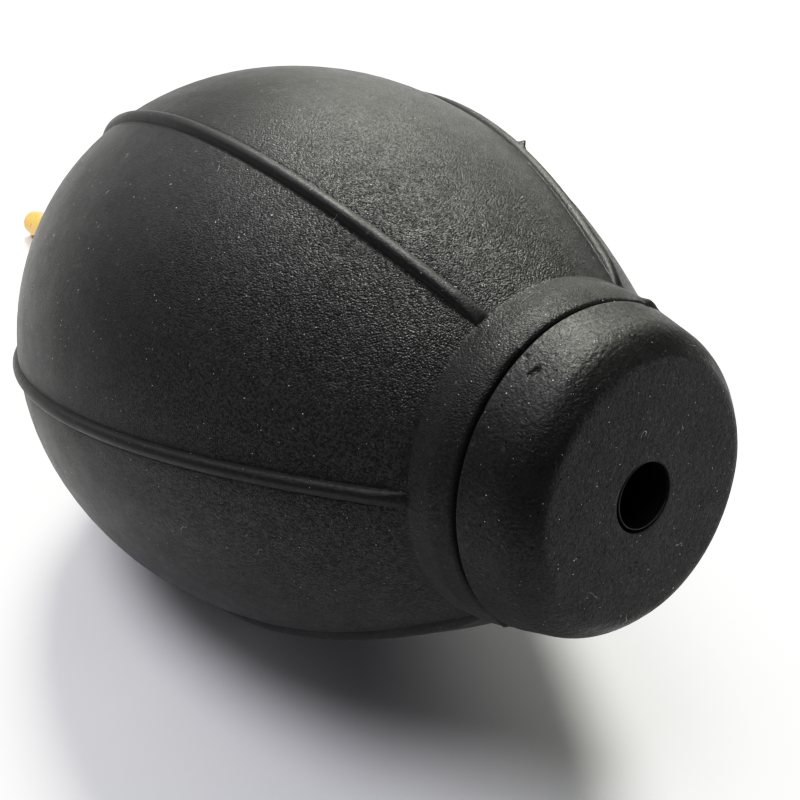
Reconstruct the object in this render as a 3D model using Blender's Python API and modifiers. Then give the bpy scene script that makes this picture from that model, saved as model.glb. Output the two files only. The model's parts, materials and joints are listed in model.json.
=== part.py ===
"""A rubber dust blower bulb, as watchmakers use it, in metres with +Z up.

The bulb lies on a bench as it comes to rest by itself, on its belly and on the tip of its
nozzle, with its flat end plug raised towards +X. Every piece but the ball and the ribs is
turned about the bulb's axis. An outline gives radii from that axis and depths, which are
distances along it from the plug's flat face towards the nozzle.
"""

import math

import bmesh
import bpy
from mathutils import Vector

MM = 0.001

# Squeezable shell: a barrel with a short collar at the back and a neck at the front.
BELLY_RADIUS = 23.0 * MM
BELLY_DEPTH = 38.2 * MM
WALL = 2.4 * MM
REAR_FULLNESS = 1.85
FRONT_LENGTH = 27.0 * MM
FRONT_FULLNESS = 2.2
FRONT_ROUNDNESS = 0.49
COLLAR_DEPTH = 5.4 * MM
COLLAR_RADIUS = 11.45 * MM
COLLAR_ROUND = 0.7 * MM
CREASE_DEPTH = 8.5 * MM
CREASE_RADIUS = 11.9 * MM
MOUTH_RADIUS = 9.0 * MM
MOUTH_END = 10.8 * MM
MOUTH_RELIEF_RADIUS = 10.9 * MM
NECK_RADIUS = 6.4 * MM
NECK_BORE = 3.8 * MM
NECK_END = 70.0 * MM
NECK_ROUND = 0.8 * MM
GROOVE_RADIUS = 4.4 * MM
GROOVE_DEPTH = 66.0 * MM
GROOVE_WIDTH = 2.4 * MM

# Six moulded ribs along the shell. The bottom lies between two of them.
RIB_COUNT = 6
RIB_WIDTH = 1.6 * MM
RIB_HEIGHT = 0.5 * MM
RIB_START = 9.2 * MM
RIB_END = 61.5 * MM
RIB_POINTS = 14
RIB_ANGLE = math.radians(22.5)

# End plug: a rounded drum outside, a neck through the mouth and a flange inside.
PLUG_FACE_RADIUS = 8.05 * MM
PLUG_EDGE_ROUND = 2.2 * MM
PLUG_RIM_RADIUS = 11.15 * MM
PLUG_RIM_DEPTH = 4.75 * MM
PLUG_NECK_RADIUS = 8.7 * MM
PLUG_FLANGE_RADIUS = 10.4 * MM
PLUG_FLANGE_DEPTH = 11.1 * MM
PLUG_FLANGE_WIDTH = 2.0 * MM
PLUG_STEM_RADIUS = 5.6 * MM
PLUG_STEM_END = 17.0 * MM
PLUG_BORE = 2.75 * MM

# Inlet valve: a thin sleeve with a lip, a soft seat behind the lip, a ball and its cage.
INLET_RADIUS = 2.18 * MM
SLEEVE_RADIUS = 2.45 * MM
SLEEVE_START = 0.1 * MM
SLEEVE_END = 18.2 * MM
SLEEVE_LIP_RADIUS = 1.55 * MM
SLEEVE_LIP_DEPTH = 7.0 * MM
SLEEVE_LIP_WIDTH = 0.7 * MM
SEAT_DEPTH = 7.8 * MM
SEAT_WIDTH = 1.1 * MM
SEAT_RADIUS = 2.05 * MM
SEAT_BORE = 1.15 * MM
BALL_RADIUS = 1.6 * MM
BALL_CENTRE = 11.8 * MM
CAGE_DEPTH = 13.6 * MM
CAGE_WIDTH = 1.0 * MM
CAGE_RADIUS = 2.05 * MM
CAGE_HOLES = 4
CAGE_HOLE_RADIUS = 0.45 * MM
CAGE_HOLE_PITCH = 1.2 * MM

# Nozzle: a barbed tail in the neck, a flange against it and a long tapering tube.
TAIL_START = 60.0 * MM
TAIL_RADIUS = 3.45 * MM
BARB_RADIUS = 4.0 * MM
FLANGE_DEPTH = 70.3 * MM
FLANGE_WIDTH = 1.6 * MM
FLANGE_RADIUS = 5.4 * MM
TUBE_START = 73.0 * MM
TUBE_RADIUS = 3.5 * MM
TIP_DEPTH = 103.0 * MM
TIP_RADIUS = 1.5 * MM
TIP_ROUND = 0.4 * MM
TAIL_BORE = 2.0 * MM
TIP_BORE = 0.7 * MM

SHELL_SIDES = 24
PLUG_SIDES = 36
SMALL_SIDES = 24
CURVE_STEPS = 10
SHARP_ANGLE = math.radians(40)


def clear_scene():
    for scene_object in list(bpy.data.objects):
        bpy.data.objects.remove(scene_object, do_unlink=True)


def make_collection(name):
    collection = bpy.data.collections.new(name)
    bpy.context.scene.collection.children.link(collection)
    return collection


def make_material(name, colour, roughness, metallic=0.0):
    material = bpy.data.materials.new(name)
    material.use_nodes = True
    shader = material.node_tree.nodes["Principled BSDF"]
    shader.inputs["Base Color"].default_value = (*colour, 1.0)
    shader.inputs["Roughness"].default_value = roughness
    shader.inputs["Metallic"].default_value = metallic
    return material


def arc(centre_radius, centre_depth, size, start_degrees, end_degrees, steps=4):
    """Points on a rounded edge: 0 degrees points away from the axis, 90 towards the nozzle."""
    points = []
    for step in range(steps + 1):
        angle = math.radians(start_degrees + (end_degrees - start_degrees) * step / steps)
        radius = centre_radius + size * math.cos(angle)
        points.append((radius, centre_depth + size * math.sin(angle)))
    return points


def rear_radius(depth, widest, start_depth, start_radius):
    """Radius of the belly behind its widest section."""
    share = (BELLY_DEPTH - depth) / (BELLY_DEPTH - start_depth)
    return widest - (widest - start_radius) * share**REAR_FULLNESS


def front_radius(depth, widest, length):
    """Radius of the belly in front of its widest section."""
    share = (depth - BELLY_DEPTH) / length
    return widest * (1 - share**FRONT_FULLNESS) ** FRONT_ROUNDNESS


def belly(widest, start_depth, start_radius, length, end_radius):
    """The belly's outline from its back end to where it has narrowed to end_radius."""
    points = []
    for step in range(CURVE_STEPS):
        depth = start_depth + (BELLY_DEPTH - start_depth) * step / CURVE_STEPS
        points.append((rear_radius(depth, widest, start_depth, start_radius), depth))
    narrowed = (end_radius / widest) ** (1 / FRONT_ROUNDNESS)
    last_angle = math.asin((1 - narrowed) ** (1 / FRONT_FULLNESS))
    for step in range(CURVE_STEPS + 1):
        depth = BELLY_DEPTH + length * math.sin(last_angle * step / CURVE_STEPS)
        points.append((front_radius(depth, widest, length), depth))
    return points


def outer_belly():
    return belly(BELLY_RADIUS, CREASE_DEPTH, CREASE_RADIUS, FRONT_LENGTH, NECK_RADIUS)


def shell_outline():
    collar_edge = arc(COLLAR_RADIUS - COLLAR_ROUND, COLLAR_DEPTH + COLLAR_ROUND, COLLAR_ROUND, -90, 0)
    neck_edge = arc(NECK_RADIUS - NECK_ROUND, NECK_END - NECK_ROUND, NECK_ROUND, 0, 90)
    chamber = belly(
        BELLY_RADIUS - WALL, MOUTH_END, MOUTH_RELIEF_RADIUS, FRONT_LENGTH - WALL, NECK_BORE
    )
    groove_start = GROOVE_DEPTH - GROOVE_WIDTH / 2
    groove_end = GROOVE_DEPTH + GROOVE_WIDTH / 2
    groove = [
        (NECK_BORE, groove_end),
        (GROOVE_RADIUS, groove_end),
        (GROOVE_RADIUS, groove_start),
        (NECK_BORE, groove_start),
    ]
    outside = [(MOUTH_RADIUS, COLLAR_DEPTH), *collar_edge, *outer_belly(), *neck_edge]
    inside = [(NECK_BORE, NECK_END), *groove, *reversed(chamber), (MOUTH_RADIUS, MOUTH_END)]
    return outside + inside


def plug_outline():
    face_edge = arc(PLUG_FACE_RADIUS, PLUG_EDGE_ROUND, PLUG_EDGE_ROUND, -90, 0, steps=5)
    flange_end = PLUG_FLANGE_DEPTH + PLUG_FLANGE_WIDTH
    return [
        (PLUG_BORE, 0.0),
        *face_edge,
        (PLUG_RIM_RADIUS, PLUG_RIM_DEPTH),
        (PLUG_NECK_RADIUS, PLUG_RIM_DEPTH),
        (PLUG_NECK_RADIUS, PLUG_FLANGE_DEPTH),
        (PLUG_FLANGE_RADIUS, PLUG_FLANGE_DEPTH),
        (PLUG_STEM_RADIUS, flange_end),
        (PLUG_STEM_RADIUS, PLUG_STEM_END),
        (PLUG_BORE, PLUG_STEM_END),
    ]


def sleeve_outline():
    lip_end = SLEEVE_LIP_DEPTH + SLEEVE_LIP_WIDTH
    return [
        (INLET_RADIUS, SLEEVE_START),
        (SLEEVE_RADIUS, SLEEVE_START),
        (SLEEVE_RADIUS, SLEEVE_END),
        (INLET_RADIUS, SLEEVE_END),
        (INLET_RADIUS, lip_end),
        (SLEEVE_LIP_RADIUS, lip_end),
        (SLEEVE_LIP_RADIUS, SLEEVE_LIP_DEPTH),
        (INLET_RADIUS, SLEEVE_LIP_DEPTH),
    ]


def seat_outline():
    """A ring whose inner edge is cut back at 45 degrees where the ball closes on it."""
    seat_end = SEAT_DEPTH + SEAT_WIDTH
    bevel = SEAT_WIDTH / 3
    return [
        (SEAT_BORE, SEAT_DEPTH),
        (SEAT_RADIUS, SEAT_DEPTH),
        (SEAT_RADIUS, seat_end),
        (SEAT_BORE + bevel, seat_end),
        (SEAT_BORE, seat_end - bevel),
    ]


def nozzle_outline():
    barb_start = GROOVE_DEPTH - GROOVE_WIDTH / 4
    barb_end = GROOVE_DEPTH + GROOVE_WIDTH / 4
    flange_round = FLANGE_WIDTH / 2
    flange_edge = arc(FLANGE_RADIUS - flange_round, FLANGE_DEPTH + flange_round, flange_round, -90, 90)
    tip_edge = arc(TIP_RADIUS - TIP_ROUND, TIP_DEPTH - TIP_ROUND, TIP_ROUND, 0, 90)
    return [
        (TAIL_BORE, TAIL_START),
        (TAIL_RADIUS, TAIL_START),
        (TAIL_RADIUS, barb_start),
        (BARB_RADIUS, barb_start),
        (BARB_RADIUS, barb_end),
        (TAIL_RADIUS, barb_end),
        (TAIL_RADIUS, FLANGE_DEPTH),
        *flange_edge,
        (TUBE_RADIUS, FLANGE_DEPTH + FLANGE_WIDTH),
        (TUBE_RADIUS, TUBE_START),
        *tip_edge,
        (TIP_BORE, TIP_DEPTH),
        (TAIL_BORE, TUBE_START),
    ]


def add_object(name, mesh, material, collection, parent):
    piece = bpy.data.objects.new(name, mesh)
    mesh.materials.append(material)
    collection.objects.link(piece)
    piece.parent = parent
    return piece


def turn(name, outline, sides, material, collection, parent):
    """A solid of revolution whose flat sides touch the outline's circles from outside."""
    corner = 1 / math.cos(math.pi / sides)
    points = [(radius * corner, 0.0, -depth) for radius, depth in outline]
    edges = [(index, (index + 1) % len(points)) for index in range(len(points))]
    mesh = bpy.data.meshes.new(name)
    mesh.from_pydata(points, edges, [])
    piece = add_object(name, mesh, material, collection, parent)
    piece.rotation_euler.z = math.pi / sides
    screw = piece.modifiers.new("Turn", "SCREW")
    screw.axis = "Z"
    screw.steps = sides
    screw.render_steps = sides
    screw.use_merge_vertices = True
    screw.merge_threshold = 0.00001
    screw.use_smooth_shade = True
    return piece


def add_boolean(piece, other, operation):
    boolean = piece.modifiers.new(other.name, "BOOLEAN")
    boolean.operation = operation
    boolean.solver = "EXACT"
    boolean.object = other
    other.hide_render = True
    other.display_type = "WIRE"


def rib_radius(depth):
    if depth < BELLY_DEPTH:
        return rear_radius(depth, BELLY_RADIUS, CREASE_DEPTH, CREASE_RADIUS)
    return front_radius(depth, BELLY_RADIUS, FRONT_LENGTH)


def make_ribs(collection, parent):
    """Six round beads sunk into the shell, leaving RIB_HEIGHT of each standing proud."""
    sunk = RIB_WIDTH / 2 - RIB_HEIGHT
    curve = bpy.data.curves.new("ribs", "CURVE")
    curve.dimensions = "3D"
    curve.bevel_depth = RIB_WIDTH / 2
    curve.bevel_resolution = 2
    curve.use_fill_caps = True
    for rib in range(RIB_COUNT):
        angle = RIB_ANGLE + math.tau * rib / RIB_COUNT
        spline = curve.splines.new("POLY")
        spline.points.add(RIB_POINTS - 1)
        for index, point in enumerate(spline.points):
            depth = RIB_START + (RIB_END - RIB_START) * index / (RIB_POINTS - 1)
            radius = rib_radius(depth) - sunk
            point.co = (radius * math.cos(angle), radius * math.sin(angle), -depth, 1.0)
    guide = bpy.data.objects.new("ribs_guide", curve)
    collection.objects.link(guide)
    bpy.context.view_layer.update()
    graph = bpy.context.evaluated_depsgraph_get()
    mesh = bpy.data.meshes.new_from_object(guide.evaluated_get(graph))
    bpy.data.objects.remove(guide, do_unlink=True)
    beads = bmesh.new()
    beads.from_mesh(mesh)
    bmesh.ops.remove_doubles(beads, verts=beads.verts, dist=0.000001)
    bmesh.ops.recalc_face_normals(beads, faces=beads.faces)
    beads.to_mesh(mesh)
    beads.free()
    ribs = bpy.data.objects.new("ribs", mesh)
    collection.objects.link(ribs)
    ribs.parent = parent
    return ribs


def make_shell(material, parts, cutters, axis):
    shell = turn("bulb_shell", shell_outline(), SHELL_SIDES, material, parts, axis)
    add_boolean(shell, make_ribs(cutters, axis), "UNION")


def make_cage(material, parts, cutters, axis):
    """A disc with holes that let air past the ball resting on it."""
    mesh = bpy.data.meshes.new("valve_cage")
    disc = bmesh.new()
    bmesh.ops.create_cone(
        disc,
        cap_ends=True,
        segments=SMALL_SIDES,
        radius1=CAGE_RADIUS,
        radius2=CAGE_RADIUS,
        depth=CAGE_WIDTH,
    )
    disc.to_mesh(mesh)
    disc.free()
    cage = add_object("valve_cage", mesh, material, parts, axis)
    cage.location.z = -(CAGE_DEPTH + CAGE_WIDTH / 2)
    drills = bmesh.new()
    for hole in range(CAGE_HOLES):
        angle = math.tau * hole / CAGE_HOLES
        made = bmesh.ops.create_cone(
            drills,
            cap_ends=True,
            segments=SMALL_SIDES // 2,
            radius1=CAGE_HOLE_RADIUS,
            radius2=CAGE_HOLE_RADIUS,
            depth=3 * CAGE_WIDTH,
        )
        place = (CAGE_HOLE_PITCH * math.cos(angle), CAGE_HOLE_PITCH * math.sin(angle), 0.0)
        bmesh.ops.translate(drills, verts=made["verts"], vec=place)
    drill_mesh = bpy.data.meshes.new("cage_drills")
    drills.to_mesh(drill_mesh)
    drills.free()
    drill = bpy.data.objects.new("cage_drills", drill_mesh)
    cutters.objects.link(drill)
    drill.parent = axis
    drill.location = cage.location
    add_boolean(cage, drill, "DIFFERENCE")


def make_ball(material, parts, axis):
    mesh = bpy.data.meshes.new("valve_ball")
    ball = bmesh.new()
    bmesh.ops.create_icosphere(ball, subdivisions=3, radius=BALL_RADIUS)
    ball.to_mesh(mesh)
    ball.free()
    mesh.shade_smooth()
    piece = add_object("valve_ball", mesh, material, parts, axis)
    piece.location.z = -BALL_CENTRE


def resting_lean():
    """The angle of the axis at which the belly and the nozzle's tip touch the bench together."""
    tip = (TIP_RADIUS, TIP_DEPTH - TIP_ROUND)
    low, high = 0.0, math.pi / 4
    while high - low > 1e-7:
        lean = (low + high) / 2
        belly_reach = max(r * math.cos(lean) + d * math.sin(lean) for r, d in outer_belly())
        tip_reach = tip[0] * math.cos(lean) + tip[1] * math.sin(lean)
        if tip_reach < belly_reach:
            low = lean
        else:
            high = lean
    return low


def lay_down(axis, parts):
    """Turns the axis to its resting lean, and puts the origin under the middle of the bulb."""
    axis.rotation_euler.y = math.pi / 2 - resting_lean()
    bpy.context.view_layer.update()
    graph = bpy.context.evaluated_depsgraph_get()
    corners = []
    for piece in parts.objects:
        evaluated = piece.evaluated_get(graph)
        corners += [evaluated.matrix_world @ vertex.co for vertex in evaluated.data.vertices]
    lowest = Vector(min(corner[side] for corner in corners) for side in range(3))
    highest = Vector(max(corner[side] for corner in corners) for side in range(3))
    middle = (lowest + highest) / 2
    axis.location = (-middle.x, -middle.y, -lowest.z)


def main():
    clear_scene()
    parts = make_collection("dust_blower_bulb")
    cutters = make_collection("cutters")
    axis = bpy.data.objects.new("bulb_axis", None)
    bpy.context.scene.collection.objects.link(axis)

    shell_rubber = make_material("shell_rubber", (0.030, 0.030, 0.032), 0.62)
    plug_rubber = make_material("plug_rubber", (0.028, 0.028, 0.030), 0.55)
    seat_rubber = make_material("seat_rubber", (0.020, 0.020, 0.020), 0.50)
    dark_plastic = make_material("dark_plastic", (0.060, 0.060, 0.062), 0.40)
    bearing_steel = make_material("bearing_steel", (0.620, 0.620, 0.630), 0.20, 1.0)
    amber_plastic = make_material("amber_plastic", (0.720, 0.350, 0.030), 0.35)

    make_shell(shell_rubber, parts, cutters, axis)
    turn("end_plug", plug_outline(), PLUG_SIDES, plug_rubber, parts, axis)
    turn("valve_sleeve", sleeve_outline(), SMALL_SIDES, dark_plastic, parts, axis)
    turn("valve_seat", seat_outline(), SMALL_SIDES, seat_rubber, parts, axis)
    make_ball(bearing_steel, parts, axis)
    make_cage(dark_plastic, parts, cutters, axis)
    turn("nozzle", nozzle_outline(), SMALL_SIDES, amber_plastic, parts, axis)
    lay_down(axis, parts)


main()
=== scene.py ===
"""The looks of a rubber dust blower bulb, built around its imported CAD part, in metres with +Z up.

Every turned piece is drawn as an outline of (radius, depth) in millimetres. Depth is the
distance along the bulb's own axis from the plug's flat face towards the nozzle. The angle
round the axis is 0 on the underside and grows towards +Y.
"""

import json
import math

import bpy
import numpy as np
from mathutils import Matrix, Quaternion, Vector


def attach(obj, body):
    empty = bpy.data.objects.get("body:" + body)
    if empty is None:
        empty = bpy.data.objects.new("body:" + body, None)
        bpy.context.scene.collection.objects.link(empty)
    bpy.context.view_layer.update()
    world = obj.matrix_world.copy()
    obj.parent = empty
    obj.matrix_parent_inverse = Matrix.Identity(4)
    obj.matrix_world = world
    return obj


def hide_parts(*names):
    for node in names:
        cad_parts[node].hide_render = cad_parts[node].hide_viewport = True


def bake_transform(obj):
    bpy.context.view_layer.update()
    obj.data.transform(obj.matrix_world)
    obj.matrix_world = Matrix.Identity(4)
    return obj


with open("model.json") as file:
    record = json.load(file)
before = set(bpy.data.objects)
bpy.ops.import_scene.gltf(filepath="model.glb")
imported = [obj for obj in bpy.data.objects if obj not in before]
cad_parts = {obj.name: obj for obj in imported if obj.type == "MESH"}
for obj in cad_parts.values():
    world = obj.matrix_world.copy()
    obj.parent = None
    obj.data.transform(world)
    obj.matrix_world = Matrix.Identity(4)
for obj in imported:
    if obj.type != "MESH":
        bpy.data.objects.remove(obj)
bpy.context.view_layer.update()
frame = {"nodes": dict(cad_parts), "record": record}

MM = 0.001

# The mount on the end plug's flat face gives the bulb's own axis and where depth 0 is. Its
# point lies on the rubber above the inlet hole, this far from the axis.
FACE_MOUNT = frame["record"]["mounts"][0]
MOUNT_RADIUS = 5.3 * MM
TO_PLUG = Vector(FACE_MOUNT["axis"]).normalized()
ACROSS = Vector((0.0, 1.0, 0.0))
UNDER = ACROSS.cross(TO_PLUG)
FACE_CENTRE = Vector(FACE_MOUNT["pos_m"]) + MOUNT_RADIUS * UNDER

# Shell, in millimetres.
BELLY_RADIUS = 23.0
BELLY_DEPTH = 38.2
WALL = 2.4
# This far under the outer face is still inside the wall.
INSIDE_WALL = 1.1
REAR_FULLNESS = 1.85
FRONT_LENGTH = 27.0
FRONT_FULLNESS = 2.2
FRONT_ROUNDNESS = 0.49
COLLAR_DEPTH = 5.20
COLLAR_RADIUS = 11.15
COLLAR_ROUND = 0.40
COLLAR_SHOULDER = (11.72, 6.7)
COLLAR_SHOULDER_ROUND = 2.5
# The collar's rim comes this much nearer to the plug opposite the seam's open side.
SEAM_CLOSING = 0.32
SEAM_OPEN_ANGLE = math.radians(290)
CREASE_DEPTH = 8.5
CREASE_RADIUS = 11.9
CREASE_ROUND = 0.5
MOUTH_RADIUS = 9.0
MOUTH_END = 10.8
MOUTH_RELIEF_RADIUS = 10.9
NECK_RADIUS = 6.4
NECK_BORE = 3.8
NECK_END = 70.0
NECK_ROUND = 0.8
NECK_FILLET = 1.6

# Six moulded ribs, whose sides meet the shell in a sharp corner.
RIB_COUNT = 6
RIB_ANGLE = math.radians(22.5)
RIB_HALF_WIDTH = 0.55
RIB_HEIGHT = 0.48
RIB_FULLNESS = 0.62
RIB_BACK = (8.35, 10.4)
RIB_BACK_RISE = 0.45
RIB_FRONT = (58.5, 61.5)
# A shallow dip along each foot: its depth, then its middle past the edge and its half width.
RIB_SIDE_DIP = 0.03
RIB_DIP_BAND = (0.07, 0.09)
# How far past its edge a rib's smoother finish reaches.
RIB_FOOT = 0.08
# Distances of the mesh's columns from a rib's middle, closest together at its edge.
RIB_STEPS = (
    0.0, 0.1, 0.2, 0.3, 0.38, 0.44, 0.49, 0.53,
    0.55, 0.58, 0.62, 0.68, 0.76, 0.88, 1.05, 1.3,
)
# Even columns between the outermost ones of two neighbouring ribs.
PANEL_STEPS = 16

# End plug.
PLUG_EDGE_RADIUS = 8.65
PLUG_EDGE_ROUND = 1.2
PLUG_SHOULDER_RADIUS = 10.2
PLUG_SHOULDER_DEPTH = 1.45
PLUG_SHOULDER_ROUND = 3.6
PLUG_RIM_RADIUS = 11.15
PLUG_RIM_DEPTH = 4.75
PLUG_NECK_RADIUS = 8.7
PLUG_FLANGE_RADIUS = 10.4
PLUG_FLANGE_DEPTH = 11.1
PLUG_FLANGE_WIDTH = 2.0
PLUG_STEM_RADIUS = 5.6
PLUG_STEM_END = 17.0
PLUG_BORE = 2.56
PLUG_MOUTH = 2.33
PLUG_MOUTH_DEPTH = 1.5
PLUG_BORE_OFFSET = 0.20
PLUG_BORE_ANGLE = math.radians(272)
PLUG_BORE_EASE_RADII = (PLUG_BORE + 0.05, PLUG_BORE + 1.2)
PLUG_BORE_EASE_DEPTHS = (1.0, 3.0)

# Inlet sleeve, seat, ball and nozzle.
INLET_RADIUS = 2.18
SLEEVE_RADIUS = 2.45
SLEEVE_RIM_RADIUS = 2.26
SLEEVE_RIM_TAPER = 1.4
SLEEVE_START = 0.1
SLEEVE_END = 18.2
SLEEVE_LIP_RADIUS = 1.55
SLEEVE_LIP_DEPTH = 7.0
SLEEVE_LIP_WIDTH = 0.7
SEAT_DEPTH = 7.8
SEAT_WIDTH = 1.1
SEAT_RADIUS = 2.05
SEAT_BORE = 1.15
BALL_RADIUS = 1.6
BALL_DEPTH = 11.8
TAIL_START = 60.0
TAIL_RADIUS = 3.45
TAIL_BORE = 2.0
BARB_RADIUS = 4.0
GROOVE_RADIUS = 4.4
GROOVE_DEPTH = 66.0
GROOVE_WIDTH = 2.4
FLANGE_DEPTH = 70.3
FLANGE_WIDTH = 1.6
FLANGE_RADIUS = 5.4
TUBE_START = 73.0
TUBE_RADIUS = 3.5
TIP_DEPTH = 103.0
TIP_RADIUS = 1.5
TIP_ROUND = 0.4
TIP_BORE = 0.7

# How finely the outlines are divided, in millimetres or in steps.
CORNER_STEPS = 6
BELLY_STEPS = 64
CHAMBER_STEPS = 20
SKIN_SPACING = 0.30
CHAMBER_SPACING = 1.5
PLUG_SIDE_SPACING = 0.11
PLUG_SPACING = 0.35

# Columns round each piece, and closer ones (middle, half width, count) round the plug's nick.
PLUG_COLUMNS = 240
SLEEVE_COLUMNS = 128
SEAT_COLUMNS = 96
NOZZLE_COLUMNS = 144
BALL_RINGS = 32
NICK_CROWD = (math.radians(209), math.radians(4), 60)

# Slow unevenness of the surfaces: (height, seed, wavelength in mm), as a sum of sine waves.
SHELL_WAVES = (0.035, 3, 19.0)
PLUG_WAVES = (0.02, 11, 7.0)
WAVE_COUNT = 5


# ---------------------------------------------------------------- outlines


def corner(before, point, after, size):
    """The points that round one corner of an outline with an arc of that radius."""
    at = Vector(point)
    back = (Vector(before) - at).normalized()
    ahead = (Vector(after) - at).normalized()
    opening = back.angle(ahead)
    reach = size / math.tan(opening / 2)
    centre = at + (back + ahead).normalized() * (size / math.sin(opening / 2))
    first = at + back * reach - centre
    last = at + ahead * reach - centre
    points = []
    for step in range(CORNER_STEPS + 1):
        share = step / CORNER_STEPS
        points.append(tuple(centre + first.slerp(last, share).normalized() * size))
    return points


def rounded(corners):
    """A closed outline from (radius, depth, rounding) corners."""
    points = []
    count = len(corners)
    for index, (radius, depth, size) in enumerate(corners):
        before = corners[index - 1][:2]
        after = corners[(index + 1) % count][:2]
        if size:
            points += corner(before, (radius, depth), after, size)
        else:
            points.append((radius, depth))
    return points


def divided(points, spacing, closed=True):
    """The outline with points added so that none of its steps is longer than spacing."""
    made = []
    count = len(points)
    for index in range(count if closed else count - 1):
        a, b = np.array(points[index]), np.array(points[(index + 1) % count])
        steps = max(1, math.ceil(float(np.hypot(*(b - a))) / spacing))
        made += [tuple(a + (b - a) * step / steps) for step in range(steps)]
    return made


def rear_radius(depth, widest, start_depth, start_radius):
    """The belly's radius between its back end and its widest place."""
    share = (BELLY_DEPTH - depth) / (BELLY_DEPTH - start_depth)
    return widest - (widest - start_radius) * share**REAR_FULLNESS


def front_radius(depth, widest, length):
    """The belly's radius from its widest place forward, closing after that length."""
    share = (depth - BELLY_DEPTH) / length
    return widest * (1 - share**FRONT_FULLNESS) ** FRONT_ROUNDNESS


def belly(widest, start_depth, start_radius, length, end_radius, steps):
    """The belly's outline from its back end to where it has narrowed to end_radius."""
    points = []
    for step in range(steps):
        depth = start_depth + (BELLY_DEPTH - start_depth) * step / steps
        points.append((rear_radius(depth, widest, start_depth, start_radius), depth))
    narrowed = (end_radius / widest) ** (1 / FRONT_ROUNDNESS)
    last_angle = math.asin((1 - narrowed) ** (1 / FRONT_FULLNESS))
    for step in range(steps + 1):
        depth = BELLY_DEPTH + length * math.sin(last_angle * step / steps)
        points.append((front_radius(depth, widest, length), depth))
    return points


def outer_belly():
    """The belly's outside, from the collar's crease to the neck."""
    return belly(BELLY_RADIUS, CREASE_DEPTH, CREASE_RADIUS, FRONT_LENGTH, NECK_RADIUS, BELLY_STEPS)


def shell_outline():
    """Collar, belly and neck outside, then the nozzle's groove and the chamber inside."""
    outer = outer_belly()
    inner = belly(
        BELLY_RADIUS - WALL,
        MOUTH_END,
        MOUTH_RELIEF_RADIUS,
        FRONT_LENGTH - WALL,
        NECK_BORE,
        CHAMBER_STEPS,
    )
    crease = corner(COLLAR_SHOULDER, outer[0], outer[3], CREASE_ROUND)
    shoulder = corner(
        (COLLAR_RADIUS, COLLAR_DEPTH), COLLAR_SHOULDER, outer[0], COLLAR_SHOULDER_ROUND
    )
    fillet = corner(outer[-3], outer[-1], (NECK_RADIUS, NECK_END), NECK_FILLET)
    kept = [p for p in outer[1:-1] if crease[-1][1] < p[1] and p[0] > fillet[0][0]]
    rim = corner(
        (MOUTH_RADIUS, COLLAR_DEPTH), (COLLAR_RADIUS, COLLAR_DEPTH), COLLAR_SHOULDER, COLLAR_ROUND
    )
    lip = corner(
        (NECK_RADIUS, TAIL_START), (NECK_RADIUS, NECK_END), (NECK_BORE, NECK_END), NECK_ROUND
    )
    groove = [
        (NECK_BORE, GROOVE_DEPTH + GROOVE_WIDTH / 2),
        (GROOVE_RADIUS, GROOVE_DEPTH + GROOVE_WIDTH / 2),
        (GROOVE_RADIUS, GROOVE_DEPTH - GROOVE_WIDTH / 2),
        (NECK_BORE, GROOVE_DEPTH - GROOVE_WIDTH / 2),
    ]
    outside = [(MOUTH_RADIUS, COLLAR_DEPTH), *rim, *shoulder, *crease, *kept, *fillet, *lip]
    inside = [(NECK_BORE, NECK_END), *groove, *reversed(inner), (MOUTH_RADIUS, MOUTH_END)]
    fine = divided(outside, SKIN_SPACING, closed=False)
    return fine + divided([outside[-1], *inside, outside[0]], CHAMBER_SPACING, closed=False)


def plug_outline():
    """Face, domed side, rim, the neck and flange that hold it in the mouth, and the bore."""
    flange_end = PLUG_FLANGE_DEPTH + PLUG_FLANGE_WIDTH
    outside = rounded(
        [
            (PLUG_MOUTH, 0.0, 0.06),
            (PLUG_EDGE_RADIUS, 0.0, PLUG_EDGE_ROUND),
            (PLUG_SHOULDER_RADIUS, PLUG_SHOULDER_DEPTH, PLUG_SHOULDER_ROUND),
            (PLUG_RIM_RADIUS, PLUG_RIM_DEPTH, 0.09),
            (PLUG_NECK_RADIUS, PLUG_RIM_DEPTH, 0.2),
            (PLUG_NECK_RADIUS, PLUG_FLANGE_DEPTH, 0.2),
            (PLUG_FLANGE_RADIUS, PLUG_FLANGE_DEPTH, 0.3),
            (PLUG_STEM_RADIUS, flange_end, 0.3),
            (PLUG_STEM_RADIUS, PLUG_STEM_END, 0.3),
            (PLUG_BORE, PLUG_STEM_END, 0.1),
            (PLUG_BORE, PLUG_MOUTH_DEPTH, 0.3),
        ]
    )
    side = [p for p in outside if p[0] > PLUG_EDGE_RADIUS and p[1] <= PLUG_RIM_DEPTH]
    first, last = outside.index(side[0]), outside.index(side[-1])
    fine = divided(side, PLUG_SIDE_SPACING, closed=False)
    return divided(outside[:first] + fine + outside[last:], PLUG_SPACING)


def sleeve_outline():
    """A thin tube with a tapered rim, and a lip that the seat rests on."""
    lip_end = SLEEVE_LIP_DEPTH + SLEEVE_LIP_WIDTH
    return divided(
        rounded(
            [
                (INLET_RADIUS, SLEEVE_START, 0.03),
                (SLEEVE_RIM_RADIUS, SLEEVE_START, 0.03),
                (SLEEVE_RADIUS, SLEEVE_START + SLEEVE_RIM_TAPER, 0.4),
                (SLEEVE_RADIUS, SLEEVE_END, 0.1),
                (INLET_RADIUS, SLEEVE_END, 0.1),
                (INLET_RADIUS, lip_end, 0.1),
                (SLEEVE_LIP_RADIUS, lip_end, 0.15),
                (SLEEVE_LIP_RADIUS, SLEEVE_LIP_DEPTH, 0.15),
                (INLET_RADIUS, SLEEVE_LIP_DEPTH, 0.1),
            ]
        ),
        0.5,
    )


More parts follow.
